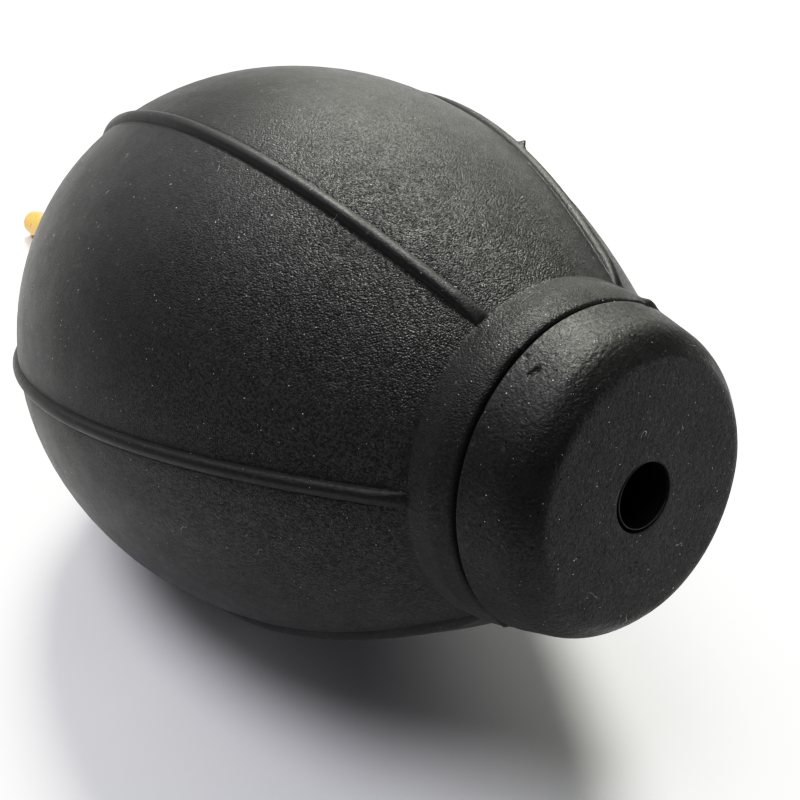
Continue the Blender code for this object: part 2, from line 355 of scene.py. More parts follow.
def seat_outline():
    """A ring with a bevel for the ball."""
    seat_end = SEAT_DEPTH + SEAT_WIDTH
    bevel = SEAT_WIDTH / 3
    return divided(
        rounded(
            [
                (SEAT_BORE, SEAT_DEPTH, 0.12),
                (SEAT_RADIUS, SEAT_DEPTH, 0.12),
                (SEAT_RADIUS, seat_end, 0.12),
                (SEAT_BORE + bevel, seat_end, 0.1),
                (SEAT_BORE, seat_end - bevel, 0.1),
            ]
        ),
        0.3,
    )


def nozzle_outline():
    """A barbed tail that snaps into the neck's groove, a flange and a tapering tube."""
    barb_start = GROOVE_DEPTH - GROOVE_WIDTH / 4
    barb_end = GROOVE_DEPTH + GROOVE_WIDTH / 4
    flange_end = FLANGE_DEPTH + FLANGE_WIDTH
    return divided(
        rounded(
            [
                (TAIL_BORE, TAIL_START, 0.15),
                (TAIL_RADIUS, TAIL_START, 0.3),
                (TAIL_RADIUS, barb_start, 0.1),
                (BARB_RADIUS, barb_start, 0.2),
                (BARB_RADIUS, barb_end, 0.2),
                (TAIL_RADIUS, barb_end, 0.1),
                (TAIL_RADIUS, FLANGE_DEPTH, 0.15),
                (FLANGE_RADIUS, FLANGE_DEPTH, 0.5),
                (FLANGE_RADIUS, flange_end, 0.5),
                (TUBE_RADIUS, flange_end, 0.45),
                (TUBE_RADIUS, TUBE_START, 0.3),
                (TIP_RADIUS, TIP_DEPTH, TIP_ROUND),
                (TIP_BORE, TIP_DEPTH, 0.15),
                (TAIL_BORE, TUBE_START, 0.3),
            ]
        ),
        0.8,
    )


# ---------------------------------------------------------------- turned meshes


def smooth_step(low, high, value):
    """0 below low, 1 above high, and an even S curve between."""
    share = np.clip((value - low) / (high - low), 0.0, 1.0)
    return share * share * (3 - 2 * share)


def outline_normals(outline):
    """The outline's own normals, which point out of the solid."""
    points = np.array(outline)
    along = np.roll(points, -1, 0) - np.roll(points, 1, 0)
    along /= np.linalg.norm(along, axis=1)[:, None]
    turned = np.stack([along[:, 1], -along[:, 0]], axis=1)
    after = np.roll(points, -1, 0)
    area = np.sum(points[:, 0] * after[:, 1] - after[:, 0] * points[:, 1])
    return turned if area > 0 else -turned


def turned_piece(name, outline, angles, lift=None, offset=None):
    """A solid turned about the axis.

    angles is (rows, columns): rows follow the outline, columns go round the axis, and both
    close on themselves. lift moves points along the outline's normal, and offset moves them
    freely.
    """
    points = np.array(outline)
    rows, columns = angles.shape
    radius = np.repeat(points[:, :1], columns, 1)
    depth = np.repeat(points[:, 1:], columns, 1)
    if lift is not None:
        normal = outline_normals(outline)
        raised = lift(radius, depth, angles)
        radius = radius + raised * normal[:, :1]
        depth = depth + raised * normal[:, 1:]
    local = np.stack([radius * np.cos(angles), radius * np.sin(angles), depth], axis=-1)
    if offset is not None:
        local = local + offset(radius, depth, angles)
    local = local.reshape(-1, 3)
    index = np.arange(rows * columns).reshape(rows, columns)
    right = np.roll(index, -1, 1)
    quads = np.stack([index, right, np.roll(right, -1, 0), np.roll(index, -1, 0)], axis=-1)
    return mesh_piece(name, local, quads.reshape(-1, 4))


def mesh_piece(name, local, faces):
    """A mesh from points in the bulb's own millimetres, which the attribute bulb_mm keeps."""
    axes = np.array([UNDER, ACROSS, -TO_PLUG])
    world = np.array(FACE_CENTRE) + (local * MM) @ axes
    mesh = bpy.data.meshes.new(name)
    mesh.from_pydata(world.tolist(), [], faces.tolist())
    mesh.update()
    place = mesh.attributes.new("bulb_mm", "FLOAT_VECTOR", "POINT")
    place.data.foreach_set("vector", local.astype(np.float32).ravel())
    if signed_volume(world, faces) < 0:
        mesh.flip_normals()
    mesh.shade_smooth()
    piece = bpy.data.objects.new(name, mesh)
    bpy.context.scene.collection.objects.link(piece)
    return piece


def signed_volume(points, faces):
    """Six times the volume, which is negative where the faces look inwards."""
    total = 0.0
    triangles = ((1, 2), (2, 3))[: faces.shape[1] - 2]
    for second, third in triangles:
        a, b, c = points[faces[:, 0]], points[faces[:, second]], points[faces[:, third]]
        total += float(np.sum(a * np.cross(b, c)))
    return total


def even_angles(rows, columns):
    """The same evenly spaced columns in each row."""
    return np.tile(np.linspace(0, math.tau, columns, endpoint=False), (rows, 1))


def crowded_angles(rows, columns, crowd):
    """Even angles, with closer ones over the crowd's (middle, half width, count)."""
    middle, half, count = crowd
    even = np.linspace(0, math.tau, columns, endpoint=False)
    kept = [a for a in even if abs(a - middle) > half * 1.2]
    close = np.linspace(middle - half, middle + half, count)
    return np.tile(np.sort([*kept, *close]), (rows, 1))


def rib_angles(outline):
    """Angles whose columns follow the ribs' edges, so that each rib keeps its width."""
    steps = np.array([-s for s in reversed(RIB_STEPS)] + list(RIB_STEPS[1:]))
    band = RIB_STEPS[-1]
    sector = math.tau / RIB_COUNT
    made = []
    for radius, _ in outline:
        row = []
        for rib in range(RIB_COUNT):
            middle = RIB_ANGLE + sector * rib
            row += list(middle + steps / radius)
            first = middle + band / radius
            last = middle + sector - band / radius
            row += list(first + (last - first) * np.arange(1, PANEL_STEPS) / PANEL_STEPS)
        made.append(row)
    return np.array(made)


def waves(local, seed, scale):
    """Gentle unevenness: a few fixed sine waves over the surface, between about -1 and 1."""
    draw = np.random.default_rng(seed)
    total = np.zeros(local.shape[:-1])
    for _ in range(WAVE_COUNT):
        heading = draw.normal(size=3)
        heading /= np.linalg.norm(heading)
        length = scale * draw.uniform(0.7, 1.4)
        start = draw.uniform(0, 6)
        total += np.sin(local @ heading * math.tau / length + start)
    return total / math.sqrt(WAVE_COUNT)


def on_axis(radius, depth, angles):
    """Points in the bulb's own millimetres, with the depth as the third coordinate."""
    return np.stack([radius * np.cos(angles), radius * np.sin(angles), depth], axis=-1)


def rib_profile(offset):
    """Height of a rib, and the shallow dip along its foot, at this distance from its middle."""
    inside = np.clip(1 - (offset / RIB_HALF_WIDTH) ** 2, 0, 1)
    body = RIB_HEIGHT * inside**RIB_FULLNESS
    middle, half = RIB_DIP_BAND
    foot = np.abs(np.abs(offset) - RIB_HALF_WIDTH - middle)
    dip = RIB_SIDE_DIP * np.clip(1 - foot / half, 0, 1)
    return body - dip * (np.abs(offset) > RIB_HALF_WIDTH)


# Small faults of the moulding: (angle, depth, angular size in mm, depth size in mm, height in mm).
SHELL_MARKS = (
    (142.5, 23.2, 0.16, 0.30, 0.50),
    (214.0, 5.30, 0.25, 0.20, -0.12),
    (209.0, 5.25, 0.14, 0.18, -0.12),
    (218.0, 5.35, 0.35, 0.20, -0.10),
    (205.0, 5.30, 0.18, 0.20, 0.08),
    (226.0, 5.30, 0.30, 0.20, -0.08),
    (196.0, 5.30, 0.25, 0.20, -0.06),
    (152.0, 5.25, 0.45, 0.20, 0.14),
    (145.0, 5.60, 0.75, 0.45, 0.30),
    (317.0, 5.45, 0.45, 0.30, 0.24),
)
PLUG_MARKS = (
    (208.6, 3.32, 0.24, 0.11, -0.20),
    (210.8, 3.46, 0.24, 0.10, -0.16),
    (206.3, 4.40, 0.16, 0.12, -0.08),
    (228.0, 4.70, 0.20, 0.10, -0.05),
    (150.0, 4.65, 0.30, 0.15, -0.06),
)


def marks(listed, radius, depth, angles):
    """The summed height of the listed marks, each a soft bump or dent."""
    total = np.zeros(radius.shape)
    for degrees, at_depth, wide, deep, height in listed:
        turn = (angles - math.radians(degrees) + math.pi) % math.tau - math.pi
        across = turn * radius / wide
        along = (depth - at_depth) / deep
        total += height * np.exp(-(across**2) - along**2)
    return total


def from_rib(angles):
    """The angle to the middle of the nearest rib."""
    sector = math.tau / RIB_COUNT
    return (angles - RIB_ANGLE + sector / 2) % sector - sector / 2


def rib_mask(outline, angles):
    """1 on a rib and 0 away from it, for the shell's material."""
    points = np.array(outline)
    off = np.abs(from_rib(angles)) * points[:, :1]
    on_rib = 1 - smooth_step(RIB_HALF_WIDTH, RIB_HALF_WIDTH + RIB_FOOT, off)
    return on_rib * (points[:, 1:] > CREASE_DEPTH)


def shell_lift(radius, depth, angles):
    """Ribs, marks and waves on the shell's outside only."""
    turn = from_rib(angles)
    outer = smooth_step(-0.2, 0.2, radius - inner_limit(depth))
    rise = np.clip((depth - RIB_BACK[0]) / (RIB_BACK[1] - RIB_BACK[0]), 0, 1) ** RIB_BACK_RISE
    run = rise * (1 - smooth_step(*RIB_FRONT, depth))
    lift = rib_profile(turn * radius) * run
    lift = lift + marks(SHELL_MARKS, radius, depth, angles)
    height, seed, length = SHELL_WAVES
    lift = lift + height * waves(on_axis(radius, depth, angles), seed, length)
    return lift * outer


def inner_limit(depth):
    """A radius that lies inside the shell's wall at this depth, between its two faces."""
    mouth = np.full(depth.shape, (MOUTH_RADIUS + COLLAR_RADIUS) / 2)
    belly_part = np.interp(depth, *LIMIT)
    return np.where(depth < MOUTH_END, mouth, belly_part)


def limit_line():
    """Depths and radii of a line inside the wall, from the crease to the neck's end."""
    outer = outer_belly()
    depths = np.array([d for _, d in outer] + [NECK_END])
    radii = np.array([r for r, _ in outer] + [NECK_RADIUS]) - INSIDE_WALL
    radii[-1] = (NECK_RADIUS + GROOVE_RADIUS) / 2
    return depths, radii


LIMIT = limit_line()


def plug_lift(radius, depth, angles):
    """Marks and waves on the plug's visible face and side only."""
    outside = (radius > PLUG_MOUTH + 0.4) & (depth < PLUG_RIM_DEPTH + 0.05)
    lift = marks(PLUG_MARKS, radius, depth, angles)
    height, seed, length = PLUG_WAVES
    lift = lift + height * waves(on_axis(radius, depth, angles), seed, length)
    return lift * outside


def collar_offset(radius, depth, angles):
    """Brings the collar's rim up to the plug, and closest on the upper side."""
    share = 1 - smooth_step(COLLAR_DEPTH, CREASE_DEPTH - CREASE_ROUND, depth)
    upper = 0.5 - 0.5 * np.cos(angles - SEAM_OPEN_ANGLE)
    nearer = -SEAM_CLOSING * share * upper
    return nearer[..., None] * np.array([0.0, 0.0, 1.0])


def plug_bore_offset(radius, depth, angles):
    """Moves the bore's mouth a little off the axis."""
    share = 1 - smooth_step(*PLUG_BORE_EASE_RADII, radius)
    share = share * (1 - smooth_step(*PLUG_BORE_EASE_DEPTHS, depth))
    shift = PLUG_BORE_OFFSET * np.array([math.cos(PLUG_BORE_ANGLE), math.sin(PLUG_BORE_ANGLE), 0.0])
    return share[..., None] * shift


def ball_piece(name, radius, depth):
    """A ball of rings and columns, with a point at each pole."""
    columns = 2 * BALL_RINGS
    local = [(0.0, 0.0, depth - radius)]
    for ring in range(1, BALL_RINGS):
        tilt = math.pi * ring / BALL_RINGS
        for column in range(columns):
            turn = math.tau * column / columns
            local.append(
                (
                    radius * math.sin(tilt) * math.cos(turn),
                    radius * math.sin(tilt) * math.sin(turn),
                    depth - radius * math.cos(tilt),
                )
            )
    local.append((0.0, 0.0, depth + radius))
    faces = []
    for column in range(columns):
        after = (column + 1) % columns
        faces.append((0, 1 + column, 1 + after))
        last = 1 + (BALL_RINGS - 2) * columns
        faces.append((len(local) - 1, last + after, last + column))
        for ring in range(BALL_RINGS - 2):
            a, b = 1 + ring * columns, 1 + (ring + 1) * columns
            faces.append((a + column, b + column, b + after))
            faces.append((a + column, b + after, a + after))
    return mesh_piece(name, np.array(local), np.array(faces))


# ---------------------------------------------------------------- materials


# Depths over which the shell's finish changes, in millimetres.
GRAIN_FADE = (14.0, 36.0)
COLLAR_EDGE = (8.2, 9.2)
COLLAR_SHEEN_EDGE = (8.0, 9.4)


class Finish:
    """A material under construction: each call adds a node and returns its output socket."""

    def __init__(self, name):
        self.material = bpy.data.materials.new(name)
        self.material.use_nodes = True
        self.nodes = self.material.node_tree.nodes
        self.links = self.material.node_tree.links
        self.shader = self.nodes["Principled BSDF"]

    def put(self, socket, value):
        """Links an output to the socket, or sets the socket to a plain value or colour."""
        if isinstance(value, bpy.types.NodeSocket):
            self.links.new(value, socket)
        elif isinstance(value, (tuple, list)) and len(socket.default_value) == 4 and len(value) == 3:
            socket.default_value = (*value, 1.0)
        else:
            socket.default_value = value

    def node(self, kind, output, inputs, **settings):
        """A node with its inputs and settings, as the output of that name or number."""
        made = self.nodes.new(kind)
        for key, value in settings.items():
            setattr(made, key, value)
        for key, value in inputs.items():
            self.put(made.inputs[key], value)
        return made.outputs[output]

    def place(self):
        """The point in the bulb's own millimetres."""
        return self.node("ShaderNodeAttribute", "Vector", {}, attribute_name="bulb_mm")

    def object_mm(self):
        """The point in the object's own space, in millimetres."""
        here = self.node("ShaderNodeTexCoord", "Object", {})
        return self.node("ShaderNodeVectorMath", "Vector", {0: here, "Scale": 1000.0}, operation="SCALE")

    def noise(self, at, scale, detail=2.0, rough=0.5):
        inputs = {"Vector": at, "Scale": scale, "Detail": detail, "Roughness": rough}
        return self.node("ShaderNodeTexNoise", 0, inputs)

    def maths(self, operation, first, second=0.0):
        return self.node("ShaderNodeMath", 0, {0: first, 1: second}, operation=operation)

    def mapped(self, value, low, high, to_low=0.0, to_high=1.0, smooth=False):
        """Low to high becomes to_low to to_high, and stays within them."""
        return self.node(
            "ShaderNodeMapRange",
            0,
            {"Value": value, "From Min": low, "From Max": high, "To Min": to_low, "To Max": to_high},
            interpolation_type="SMOOTHSTEP" if smooth else "LINEAR",
        )

    def blend(self, share, first, second):
        """First where share is 0 and second where it is 1, as colours."""
        made = self.nodes.new("ShaderNodeMix")
        made.data_type = "RGBA"
        self.put(made.inputs["Factor"], share)
        # The mix node's colours are its inputs 6 and 7 and its output 2.
        self.put(made.inputs[6], first)
        self.put(made.inputs[7], second)
        return made.outputs[2]

    def vector(self, operation, first, second=None, scale=None):
        inputs = {0: first}
        if second is not None:
            inputs[1] = second
        if scale is not None:
            inputs["Scale"] = scale
        output = "Value" if operation in ("LENGTH", "DOT_PRODUCT") else "Vector"
        return self.node("ShaderNodeVectorMath", output, inputs, operation=operation)

    def parts(self, vector):
        """The vector's three coordinates, or the colour's three channels."""
        split = self.nodes.new("ShaderNodeSeparateXYZ")
        self.put(split.inputs[0], vector)
        return split.outputs[0], split.outputs[1], split.outputs[2]

    def cells(self, at, scale):
        """(distance, random colour, cell centre) of the nearest scattered point."""
        made = self.nodes.new("ShaderNodeTexVoronoi")
        self.put(made.inputs["Vector"], at)
        self.put(made.inputs["Scale"], scale)
        return made.outputs["Distance"], made.outputs["Color"], made.outputs["Position"]

    def specks(self, at, scale, share, small, large):
        """Scattered round specks: 1 inside a speck. small and large are radii in millimetres."""
        distance, colour, _ = self.cells(at, scale)
        chance, size, _ = self.parts(colour)
        chosen = self.maths("LESS_THAN", chance, share)
        reach = self.mapped(size, 0.0, 1.0, small * scale, large * scale)
        wobble = self.mapped(self.noise(at, 14.0, 1.0), 0.3, 0.7, 0.6, 1.3)
        reach = self.maths("MULTIPLY", reach, wobble)
        edge = self.maths("SUBTRACT", reach, distance)
        edge = self.mapped(edge, 0.0, 0.25 * small * scale)
        return self.maths("MULTIPLY", edge, chosen)

    def fibres(self, at, scale, share, reach, thick):
        """Short curled fibres: 1 on a fibre, as long as twice reach and thick millimetres wide."""
        bent = self.node("ShaderNodeTexNoise", "Color", {"Vector": at, "Scale": 0.9, "Detail": 1.0})
        bent = self.vector("SUBTRACT", bent, (0.5, 0.5, 0.5))
        bent = self.vector("SCALE", bent, scale=1.6)
        bent = self.vector("ADD", at, bent)
        _, colour, centre = self.cells(bent, scale)
        away = self.vector("SUBTRACT", bent, centre)
        lay = self.vector("NORMALIZE", self.vector("SUBTRACT", colour, (0.5, 0.5, 0.5)))
        off = self.maths("ABSOLUTE", self.vector("DOT_PRODUCT", away, lay))
        line = self.mapped(off, thick * 0.25, thick * 0.6, 1.0, 0.0)
        near = self.mapped(self.vector("LENGTH", away), reach * 0.9, reach, 1.0, 0.0)
        chosen = self.maths("LESS_THAN", self.parts(colour)[1], share)
        return self.maths("MULTIPLY", self.maths("MULTIPLY", line, near), chosen)

    def total(self, *values):
        made = values[0]
        for value in values[1:]:
            made = self.maths("ADD", made, value)
        return made

    def bump(self, height_mm):
        """A normal from a height in millimetres."""
        return self.node("ShaderNodeBump", 0, {"Height": height_mm, "Distance": MM, "Strength": 1.0})

    def done(self, **inputs):
        """The material, with the shader's inputs given by name, underscores for spaces."""
        for key, value in inputs.items():
            self.put(self.shader.inputs[key.replace("_", " ")], value)
        return self.material


def wear_colour(finish, at, dark, light, scale):
    """Two tones of one colour in soft clouds with a finer mottle in them."""
    clouds = finish.noise(at, scale, 3.0, 0.6)
    mottle = finish.noise(at, scale * 9, 3.0, 0.6)
    share = finish.total(
        finish.mapped(clouds, 0.35, 0.65, 0.0, 0.6), finish.mapped(mottle, 0.3, 0.7, 0.0, 0.4)
    )
    return finish.blend(share, dark, light)


def dusted(finish, at, colour, amount):
    """Colour with pale dust specks and lint over it, and the mask of that dust."""
    fine = finish.specks(at, 3.2, 0.15 * amount, 0.026, 0.052)
    coarse = finish.specks(at, 1.2, 0.06 * amount, 0.045, 0.080)
    lint = finish.fibres(at, 0.40, 0.16 * amount, 0.55, 0.05)
    film = finish.maths("MULTIPLY", finish.specks(at, 1.5, 0.40, 0.06, 0.15), 0.07)
    specks = finish.maths("MAXIMUM", finish.maths("MAXIMUM", fine, coarse), film)
    dust = finish.maths("MAXIMUM", specks, finish.maths("MULTIPLY", lint, 0.5))
    tone = finish.noise(at, 1.7, 1.0)
    tone = finish.mapped(tone, 0.35, 0.65)
    dust_colour = finish.blend(tone, (0.16, 0.14, 0.11), (0.58, 0.59, 0.60))
    return finish.blend(dust, colour, dust_colour), dust


def shell_rubber():
    """Blasted grain, strongest near the collar, with ribs and collar smoother than the panels."""
    finish = Finish("shell_rubber_moulded")
    at = finish.place()
    _, _, depth = finish.parts(at)
    blasted = finish.mapped(depth, *GRAIN_FADE, 1.0, 0.30, smooth=True)
    collar = finish.mapped(depth, *COLLAR_EDGE, 0.55, 1.0, smooth=True)
    blasted = finish.maths("MULTIPLY", blasted, collar)
    rib = finish.node("ShaderNodeAttribute", "Fac", {}, attribute_name="rib")
    blasted = finish.maths("MULTIPLY", blasted, finish.mapped(rib, 0.0, 1.0, 1.0, 0.30))
    grain = finish.noise(at, 11.0, 1.0, 0.6)
    pebble, shade, _ = finish.cells(at, 7.5)
    glint = finish.mapped(finish.parts(shade)[2], 0.0, 1.0, 0.20, 0.85)
    glint = finish.total(finish.maths("MULTIPLY", finish.maths("SUBTRACT", glint, 0.5), blasted), 0.5)
    glint = finish.maths("MULTIPLY", glint, finish.mapped(depth, *COLLAR_SHEEN_EDGE, 0.82, 1.08))
    lumps = finish.noise(at, 0.35, 2.0, 0.5)
    colour = wear_colour(finish, at, (0.015, 0.015, 0.0148), (0.024, 0.024, 0.0232), 0.16)
    colour, dust = dusted(finish, at, colour, 1.0)
    height = finish.total(
        finish.maths("MULTIPLY", finish.maths("MULTIPLY", grain, blasted), 0.034),
        finish.maths("MULTIPLY", finish.maths("MULTIPLY", pebble, blasted), -0.056),
        finish.maths("MULTIPLY", lumps, 0.05),
        finish.maths("MULTIPLY", dust, 0.03),
    )
    rough = finish.mapped(blasted, 0.3, 1.0, 0.50, 0.46)
    rough = finish.maths("ADD", rough, finish.mapped(finish.noise(at, 0.5, 3.0), 0.3, 0.7, -0.03, 0.04))
    rough = finish.maths("MAXIMUM", rough, finish.maths("MULTIPLY", dust, 0.9))
    return finish.done(
        Base_Color=colour,
        Roughness=rough,
        Normal=finish.bump(height),
        Specular_IOR_Level=glint,
        Sheen_Weight=0.10,
        Sheen_Roughness=0.45,
        Sheen_Tint=(0.9, 0.92, 0.9),
    )


def plug_rubber():
    """Smoother rubber with drawn marks, pits, and scuffed rings round the inlet hole."""
    finish = Finish("plug_rubber_moulded")
    at = finish.place()
    x, y, _ = finish.parts(at)
    squares = finish.total(finish.maths("MULTIPLY", x, x), finish.maths("MULTIPLY", y, y))
    from_axis = finish.maths("SQRT", squares)
    colour = wear_colour(finish, at, (0.014, 0.014, 0.0138), (0.023, 0.023, 0.0222), 0.3)
    colour, dust = dusted(finish, at, colour, 1.5)
    grain = finish.noise(at, 6.5, 2.0, 0.65)
    pebble = finish.noise(at, 2.4, 2.0, 0.55)
    _, shade, _ = finish.cells(at, 8.0)
    glint = finish.mapped(finish.parts(shade)[2], 0.0, 1.0, 0.34, 0.66)
    drawn = finish.noise(finish.vector("MULTIPLY", at, (0.7, 0.7, 7.0)), 1.0, 3.0, 0.6)
    pits = finish.specks(at, 1.9, 0.16, 0.04, 0.09)
    glint = finish.maths("MULTIPLY", glint, finish.mapped(pits, 0.0, 1.0, 1.0, 0.1))
    ring = finish.maths("SINE", finish.maths("MULTIPLY", from_axis, 13.0))
    band = finish.mapped(from_axis, 2.6, 4.6, 1.0, 0.0, smooth=True)
    broken = finish.mapped(finish.noise(at, 0.7, 1.0), 0.45, 0.6)
    scuff = finish.maths("MULTIPLY", finish.maths("MULTIPLY", ring, band), broken)
    height = finish.total(
        finish.maths("MULTIPLY", grain, 0.042),
        finish.maths("MULTIPLY", pebble, 0.048),
        finish.maths("MULTIPLY", drawn, 0.014),
        finish.maths("MULTIPLY", pits, -0.035),
        finish.maths("MULTIPLY", scuff, 0.004),
        finish.maths("MULTIPLY", dust, 0.03),
    )
    rough = finish.mapped(finish.noise(at, 0.6, 3.0), 0.3, 0.7, 0.42, 0.54)
    rough = finish.maths("MAXIMUM", rough, finish.maths("MULTIPLY", dust, 0.9))
    return finish.done(
        Base_Color=colour,
        Roughness=rough,
        Normal=finish.bump(height),
        Specular_IOR_Level=glint,
        Sheen_Weight=0.03,
        Sheen_Roughness=0.4,
    )


def amber_plastic():
    """Slightly translucent, with flow marks along the nozzle."""
    finish = Finish("amber_plastic_moulded")
    at = finish.place()
    colour = wear_colour(finish, at, (0.66, 0.30, 0.022), (0.78, 0.40, 0.045), 0.2)
    flow = finish.noise(finish.vector("MULTIPLY", at, (1.0, 1.0, 0.12)), 1.4, 3.0, 0.6)
    peel = finish.noise(at, 2.4, 2.0)
    height = finish.total(finish.maths("MULTIPLY", flow, 0.012), finish.maths("MULTIPLY", peel, 0.006))
    rough = finish.mapped(finish.noise(at, 0.8, 4.0, 0.6), 0.3, 0.7, 0.24, 0.42)
    return finish.done(
        Base_Color=colour,
        Roughness=rough,
        Normal=finish.bump(height),
        Subsurface_Weight=0.25,
        Subsurface_Radius=(0.004, 0.002, 0.0006),
        Subsurface_Scale=0.6,
    )


def cage_plastic():
    """Satin black, for the CAD's own cage, which has no bulb_mm attribute."""
    finish = Finish("cage_plastic")
    at = finish.object_mm()
    colour = wear_colour(finish, at, (0.030, 0.031, 0.033), (0.055, 0.056, 0.058), 0.6)
    height = finish.maths("MULTIPLY", finish.noise(at, 5.0, 2.0), 0.01)
    rough = finish.mapped(finish.noise(at, 1.2, 3.0), 0.3, 0.7, 0.30, 0.46)
    return finish.done(Base_Color=colour, Roughness=rough, Normal=finish.bump(height))


def sleeve_plastic():
    """Matt black inside, with a painted highlight: the end of its rim is painted paler."""
    finish = Finish("sleeve_plastic")
    at = finish.place()
    _, _, depth = finish.parts(at)
    # Painted highlight: the rim's end gets a pale colour for the light line it catches.
    rim_highlight = finish.mapped(depth, SLEEVE_START + 0.03, SLEEVE_START + 0.09, 1.0, 0.0)
    colour = wear_colour(finish, at, (0.004, 0.004, 0.004), (0.008, 0.008, 0.008), 0.6)
    colour = finish.blend(rim_highlight, colour, (0.11, 0.11, 0.105))
    height = finish.maths("MULTIPLY", finish.noise(at, 5.0, 2.0), 0.01)
    return finish.done(
        Base_Color=colour, Roughness=0.62, Normal=finish.bump(height), Specular_IOR_Level=0.2
    )


def seat_rubber():
    """Smooth and soft."""
    finish = Finish("seat_rubber_soft")
    at = finish.place()
    colour = wear_colour(finish, at, (0.014, 0.014, 0.014), (0.026, 0.026, 0.025), 0.8)
    height = finish.maths("MULTIPLY", finish.noise(at, 6.0, 2.0), 0.012)
    return finish.done(Base_Color=colour, Roughness=0.55, Normal=finish.bump(height))


def bearing_steel():
    """Polished, with fine scratches."""
    finish = Finish("bearing_steel_polished")
    at = finish.place()
    colour = wear_colour(finish, at, (0.56, 0.57, 0.58), (0.66, 0.66, 0.66), 0.9)
    scratches = finish.noise(finish.vector("MULTIPLY", at, (9.0, 1.0, 1.0)), 1.6, 4.0, 0.7)
    rough = finish.mapped(scratches, 0.3, 0.7, 0.10, 0.26)
    return finish.done(
        Base_Color=colour,
        Metallic=1.0,
        Roughness=rough,
        Normal=finish.bump(finish.maths("MULTIPLY", scratches, 0.0015)),
    )


def bench_white():
    """White near the bulb. Far off, beyond the lights, the camera sees the backdrop's tone."""
    finish = Finish("bench_white")
    at = finish.object_mm()
    tone = finish.noise(at, 0.012, 2.0)
    colour = finish.blend(tone, (0.745, 0.745, 0.758), (0.775, 0.775, 0.783))
    far = finish.mapped(finish.vector("LENGTH", at), *BENCH_FADE, smooth=True)
    far = finish.maths("MULTIPLY", far, finish.node("ShaderNodeLightPath", "Is Camera Ray", {}))
    return finish.done(
        Base_Color=finish.blend(far, colour, (0.0, 0.0, 0.0)),
        Roughness=0.85,
        Specular_IOR_Level=0.2,
        Emission_Color=BACKDROP,
        Emission_Strength=far,
    )


def finish_piece(piece, material, slot, *nodes):
    """Gives a piece its material, and hides the CAD nodes whose place it takes. slot is not used."""
    piece.data.materials.append(material)
    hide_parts(*nodes)
    return piece


# ---------------------------------------------------------------- pieces


def build_pieces():
    """The six pieces that take a CAD node's place, and the cage's finish."""
    outline = shell_outline()
    angles = rib_angles(outline)
    shell = turned_piece("bulb_skin", outline, angles, shell_lift, collar_offset)
    mask = shell.data.attributes.new("rib", "FLOAT", "POINT")
    mask.data.foreach_set("value", rib_mask(outline, angles).astype(np.float32).ravel())
    finish_piece(shell, shell_rubber(), "shell_rubber", "bulb_shell")
    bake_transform(shell)

    outline = plug_outline()
    angles = crowded_angles(len(outline), PLUG_COLUMNS, NICK_CROWD)
    plug = turned_piece("plug_body", outline, angles, plug_lift, plug_bore_offset)
    finish_piece(plug, plug_rubber(), "plug_rubber", "end_plug")
    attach(plug, "base")

    outline = sleeve_outline()
    sleeve = turned_piece("inlet_sleeve", outline, even_angles(len(outline), SLEEVE_COLUMNS))
    finish_piece(sleeve, sleeve_plastic(), "dark_plastic", "valve_sleeve")
    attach(sleeve, "base")

    outline = seat_outline()
    seat = turned_piece("seat_ring", outline, even_angles(len(outline), SEAT_COLUMNS))
    finish_piece(seat, seat_rubber(), "seat_rubber", "valve_seat")
    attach(seat, "base")

    ball = ball_piece("steel_ball", BALL_RADIUS, BALL_DEPTH)
    finish_piece(ball, bearing_steel(), "bearing_steel", "valve_ball")
    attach(ball, "ball")

    outline = nozzle_outline()
    nozzle = turned_piece("blow_nozzle", outline, even_angles(len(outline), NOZZLE_COLUMNS))
    finish_piece(nozzle, amber_plastic(), "amber_plastic", "nozzle")
    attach(nozzle, "bulb")

    cage = frame["nodes"]["valve_cage"]
    cage.material_slots[0].material = cage_plastic()


# ---------------------------------------------------------------- stage, light and camera

# The photograph's viewing angle: where the lens is, which way its back faces, and its tilt.
CAMERA_PLACE = Vector((74.450, -45.868, 87.186)) * MM
CAMERA_AZIMUTH = 47.923
CAMERA_ELEVATION = 41.272
CAMERA_ROLL = 7.417
CAMERA_LENS = 52.65
LIGHT_AIM = Vector((0.01, 0.0, 0.02))
WARM = (1.0, 1.0, 0.93)
COOL = (0.96, 0.96, 1.0)
FILL_COLOUR = (0.93, 0.95, 1.0)
FILL_STRENGTH = 0.005
CONTRAST = 0.64
CURVE_STEPS = 10
BACKDROP = (0.93, 0.93, 0.93)
# The bench's rings in metres, and the distances in millimetres over which its tone fades.
BENCH_RINGS = (0.05, 0.2, 0.6, 1.6, 4.0)
BENCH_FADE = (350.0, 900.0)


def bench():
    """A pale round bench top, much wider than the view."""
    sides = 96
    points = [(0.0, 0.0, 0.0)]
    faces = []
    for radius in BENCH_RINGS:
        for side in range(sides):
            angle = math.tau * side / sides
            points.append((radius * math.cos(angle), radius * math.sin(angle), 0.0))
    for side in range(sides):
        after = (side + 1) % sides
        faces.append((0, 1 + side, 1 + after))
        for ring in range(len(BENCH_RINGS) - 1):
            a, b = 1 + ring * sides, 1 + (ring + 1) * sides
            faces.append((a + side, b + side, b + after, a + after))
    mesh = bpy.data.meshes.new("bench")
    mesh.from_pydata(points, [], faces)
    mesh.materials.append(bench_white())
    top = bpy.data.objects.new("bench", mesh)
    bpy.context.scene.collection.objects.link(top)


def direction(azimuth, elevation):
    """Towards that azimuth (0 is -Y and 90 is +X) and elevation, in degrees."""
    a, e = math.radians(azimuth), math.radians(elevation)
    return Vector((math.sin(a) * math.cos(e), -math.cos(a) * math.cos(e), math.sin(e)))


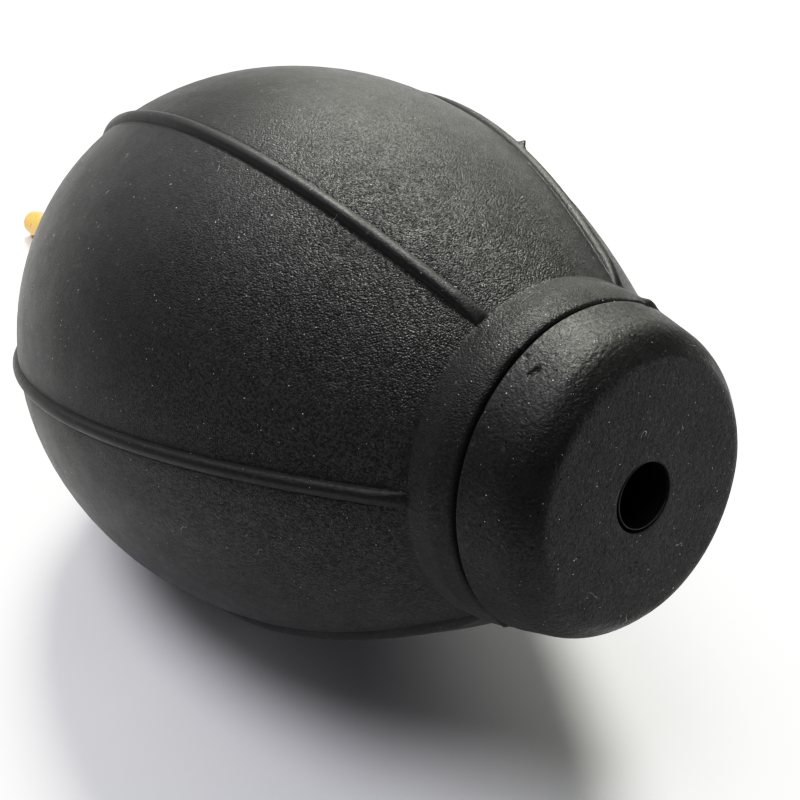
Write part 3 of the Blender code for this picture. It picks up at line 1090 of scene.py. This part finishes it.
def area_light(name, azimuth, elevation, distance, size, power, colour):
    """A soft light aimed at the bulb. size is (width, height) of its ellipse, in metres."""
    data = bpy.data.lights.new(name, "AREA")
    data.shape = "ELLIPSE"
    data.size, data.size_y = size
    data.energy = power
    data.color = colour
    lamp = bpy.data.objects.new(name, data)
    towards = direction(azimuth, elevation)
    lamp.location = LIGHT_AIM + towards * distance
    lamp.rotation_mode = "QUATERNION"
    lamp.rotation_quaternion = (-towards).to_track_quat("-Z", "Y")
    bpy.context.scene.collection.objects.link(lamp)


def studio():
    """A nearly dark surround, which the camera sees as the backdrop, and five soft lights."""
    world = bpy.data.worlds.new("studio")
    world.use_nodes = True
    nodes, links = world.node_tree.nodes, world.node_tree.links
    fill = nodes["Background"]
    fill.inputs["Color"].default_value = (*FILL_COLOUR, 1.0)
    fill.inputs["Strength"].default_value = FILL_STRENGTH
    seen = nodes.new("ShaderNodeBackground")
    seen.inputs["Color"].default_value = (*BACKDROP, 1.0)
    seen.inputs["Strength"].default_value = 1.0
    ray = nodes.new("ShaderNodeLightPath")
    mix = nodes.new("ShaderNodeMixShader")
    links.new(ray.outputs["Is Camera Ray"], mix.inputs[0])
    links.new(fill.outputs[0], mix.inputs[1])
    links.new(seen.outputs[0], mix.inputs[2])
    links.new(mix.outputs[0], nodes["World Output"].inputs["Surface"])
    bpy.context.scene.world = world
    area_light("overhead", 345, 71, 2.2, (0.93, 0.93), 18.5, COOL)
    area_light("key", 239, 57, 2.2, (0.60, 0.60), 39.5, WARM)
    area_light("back_softbox", 221, 27, 2.2, (1.70, 1.20), 16.5, WARM)
    area_light("side_softbox", 286, 38, 2.7, (3.40, 3.10), 35.0, COOL)
    area_light("low_fill", 134, 18, 2.2, (0.95, 0.95), 10.2, COOL)


def light_of(shade):
    """The linear light of an sRGB shade between 0 and 1."""
    return shade / 12.92 if shade <= 0.04045 else ((shade + 0.055) / 1.055) ** 2.4


def film():
    """A pocket camera's contrast: shades are pushed apart around middle grey."""
    view = bpy.context.scene.view_settings
    view.view_transform = "Standard"
    view.use_curve_mapping = True
    # The fourth curve acts on all three channels alike.
    curve = view.curve_mapping.curves[3]
    for step in range(1, CURVE_STEPS):
        shade = step / CURVE_STEPS
        pushed = shade - CONTRAST * math.sin(math.tau * shade) / math.tau
        curve.points.new(light_of(shade), light_of(pushed))
    view.curve_mapping.update()


def camera():
    """The photograph's camera."""
    data = bpy.data.cameras.new("camera")
    data.lens = CAMERA_LENS
    data.sensor_width = 36.0
    data.clip_start = 0.005
    data.clip_end = 20.0
    shot = bpy.data.objects.new("camera", data)
    level = direction(CAMERA_AZIMUTH, CAMERA_ELEVATION).to_track_quat("Z", "Y")
    roll = Quaternion((0.0, 0.0, 1.0), math.radians(CAMERA_ROLL))
    shot.matrix_world = Matrix.LocRotScale(CAMERA_PLACE, level @ roll, None)
    bpy.context.scene.collection.objects.link(shot)
    bpy.context.scene.camera = shot


build_pieces()
bench()
studio()
film()
camera()
